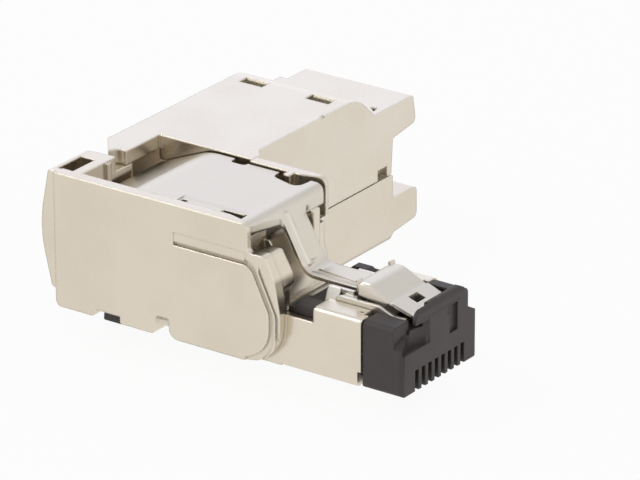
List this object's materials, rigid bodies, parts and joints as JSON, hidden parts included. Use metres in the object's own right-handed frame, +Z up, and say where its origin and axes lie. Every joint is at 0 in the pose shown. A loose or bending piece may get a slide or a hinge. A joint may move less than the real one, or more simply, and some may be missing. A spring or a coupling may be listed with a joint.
{
  "type": "angled ethernet plug",
  "caption": "Right-angled shielded modular plug with a cast metal housing, side cable outlet, black contact nose and a sprung sheet latch with a press plate.",
  "frame": {"origin": "centre of the bounding box in plan, on the underside of the cable outlet", "axes": "+X forward out of the plug nose, +Y towards the cable outlet, +Z up on the latch side"},
  "size_m": [0.039, 0.0404, 0.016],
  "materials": {
    "housing_plating": "satin nickel plate on cast zinc",
    "cover_plating": "satin nickel plate on cast zinc",
    "base_plating": "satin nickel plate on cast zinc",
    "tab_plastic": "moulded, dull",
    "nose_plastic": "moulded, dull",
    "latch_steel": "bent stainless sheet",
    "spring_steel": "bent stainless sheet",
    "contact_gold": "gold plated",
    "board_laminate": "coated laminate",
    "block_plastic": "moulded",
    "blade_tin": "tinned",
    "cap_plastic": "moulded",
    "clamp_brass": "bare strip"
  },
  "bodies": {
    "plug": {"plug_housing": "housing_plating", "cable_cover": "cover_plating", "cable_base": "base_plating", "base_lock_tab": "tab_plastic", "contact_carrier": "nose_plastic", "contact_1": "contact_gold", "contact_2": "contact_gold", "contact_3": "contact_gold", "contact_4": "contact_gold", "contact_5": "contact_gold", "contact_6": "contact_gold", "contact_7": "contact_gold", "contact_8": "contact_gold", "latch_spring": "spring_steel", "circuit_board": "board_laminate", "terminal_block": "block_plastic", "wire_blade_1": "blade_tin", "wire_blade_2": "blade_tin", "wire_blade_3": "blade_tin", "wire_blade_4": "blade_tin", "wire_blade_5": "blade_tin", "wire_blade_6": "blade_tin", "wire_blade_7": "blade_tin", "wire_blade_8": "blade_tin", "wire_cap": "cap_plastic", "screen_clamp_lower": "clamp_brass", "screen_clamp_upper": "clamp_brass"},
    "latch": {"latch_lever": "latch_steel"}
  },
  "joints": [
    {"name": "latch_press", "type": "hinge", "parent": "plug", "child": "latch", "pos_m": [0.01754, -0.01323, 0.00915], "axis": [0, -1, 0], "range_deg": [0, 4.5], "stiffness_Nm_per_rad": 2}
  ]
}
